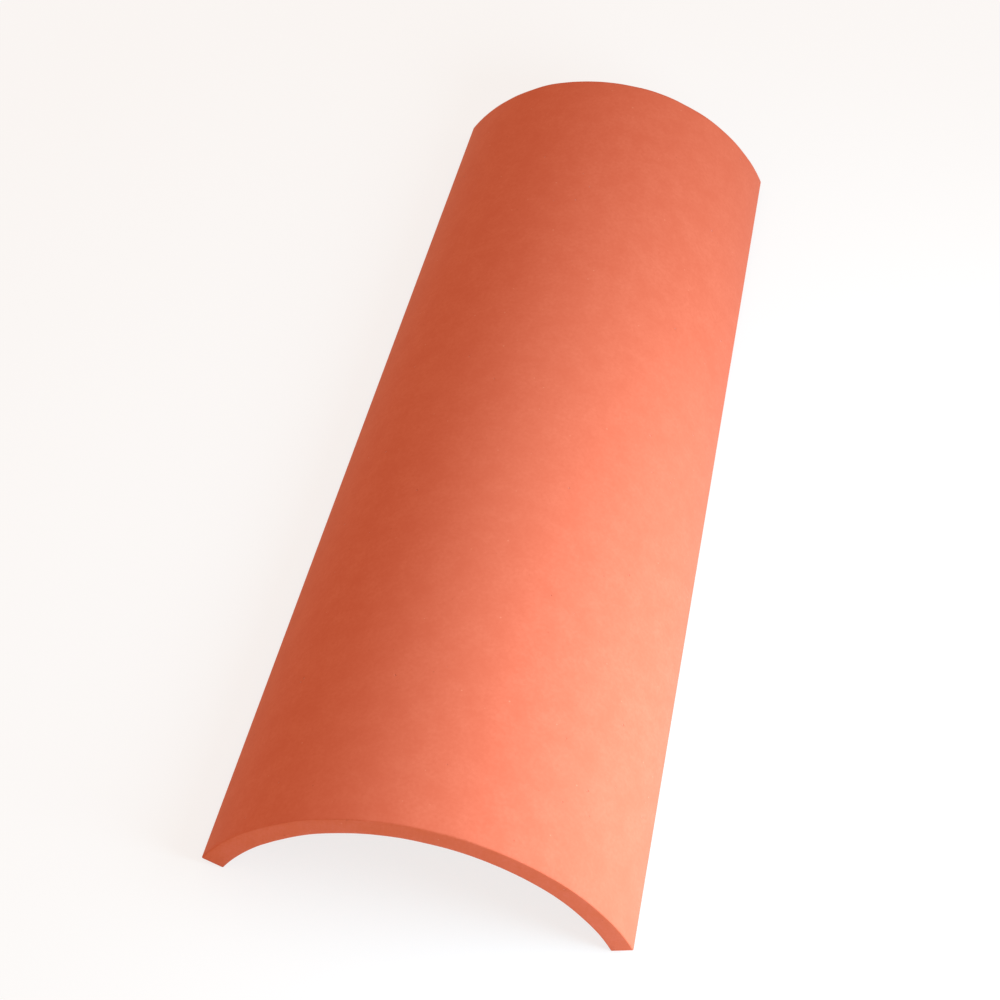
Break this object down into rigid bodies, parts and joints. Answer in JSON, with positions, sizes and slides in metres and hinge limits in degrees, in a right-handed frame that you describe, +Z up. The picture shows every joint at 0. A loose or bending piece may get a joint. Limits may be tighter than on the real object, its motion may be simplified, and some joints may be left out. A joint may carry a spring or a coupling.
{
  "type": "barrel roof tile",
  "caption": "Tapered barrel roof tile of unglazed fired clay: a half-round channel, wide at the tail and narrow at the head, laid back up so that each tail laps over the next head.",
  "frame": {"origin": "on the floor that the two long edges stand on, under the middle of the tile's length and width", "axes": "+X across the tile, +Y along it from the wide tail to the narrow head, +Z up through the crown"},
  "size_m": [0.1536, 0.4006, 0.0525],
  "materials": {
    "fired_clay": "matte"
  },
  "bodies": {
    "root": {"roof_tile": "fired_clay"}
  },
  "joints": []
}
